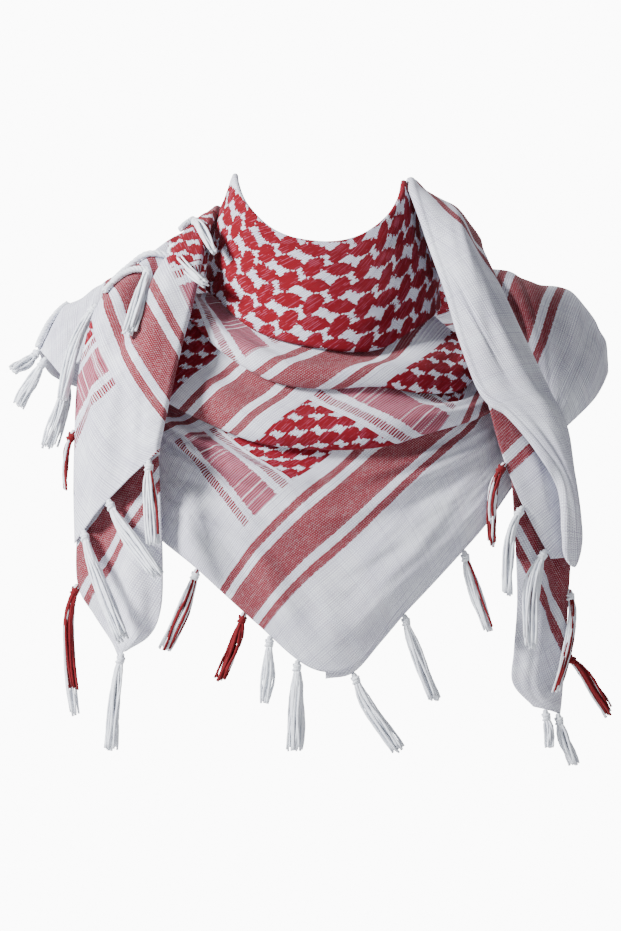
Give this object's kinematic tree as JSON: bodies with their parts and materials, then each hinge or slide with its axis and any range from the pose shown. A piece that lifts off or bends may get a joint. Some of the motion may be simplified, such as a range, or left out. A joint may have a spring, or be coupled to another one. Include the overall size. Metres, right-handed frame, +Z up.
{
  "type": "keffiyeh neck scarf",
  "caption": "Square woven cotton scarf with knotted tassels, folded on its diagonal and wound round the neck, its corner in front and its ends over the shoulders.",
  "frame": {"origin": "centre of the neck, level with the top of the shoulders, about 115 mm below the scarf's highest points", "axes": "+Z up, -Y towards the viewer where the corner hangs, +X to the viewer's right"},
  "size_m": [0.5618, 0.3332, 0.5476],
  "materials": {
    "cotton_cloth": "matte",
    "cotton_tassel": "matte"
  },
  "bodies": {
    "root": {"collar_wrap": "cotton_cloth", "nape_wrap": "cotton_cloth", "nape_cross": "cotton_cloth", "upper_swag": "cotton_cloth", "lower_swag": "cotton_cloth", "front_point": "cotton_cloth", "under_layer": "cotton_cloth", "left_panel": "cotton_cloth", "left_flap": "cotton_cloth", "left_shoulder": "cotton_cloth", "right_roll": "cotton_cloth", "right_panel": "cotton_cloth", "right_flap": "cotton_cloth", "right_shoulder": "cotton_cloth", "tassel_shoulder_a": "cotton_tassel", "tassel_shoulder_b": "cotton_tassel", "tassel_shoulder_c": "cotton_tassel", "tassel_left_a": "cotton_tassel", "tassel_left_b": "cotton_tassel", "tassel_left_c": "cotton_tassel", "tassel_left_d": "cotton_tassel", "tassel_left_e": "cotton_tassel", "tassel_left_f": "cotton_tassel", "tassel_left_g": "cotton_tassel", "tassel_left_h": "cotton_tassel", "tassel_flap_a": "cotton_tassel", "tassel_flap_b": "cotton_tassel", "tassel_point_a": "cotton_tassel", "tassel_point_b": "cotton_tassel", "tassel_point_c": "cotton_tassel", "tassel_point_d": "cotton_tassel", "tassel_under_a": "cotton_tassel", "tassel_under_b": "cotton_tassel", "tassel_under_c": "cotton_tassel", "tassel_right_a": "cotton_tassel", "tassel_right_b": "cotton_tassel", "tassel_right_c": "cotton_tassel", "tassel_right_d": "cotton_tassel", "tassel_right_e": "cotton_tassel", "tassel_right_f": "cotton_tassel", "tassel_right_g": "cotton_tassel"}
  },
  "joints": []
}
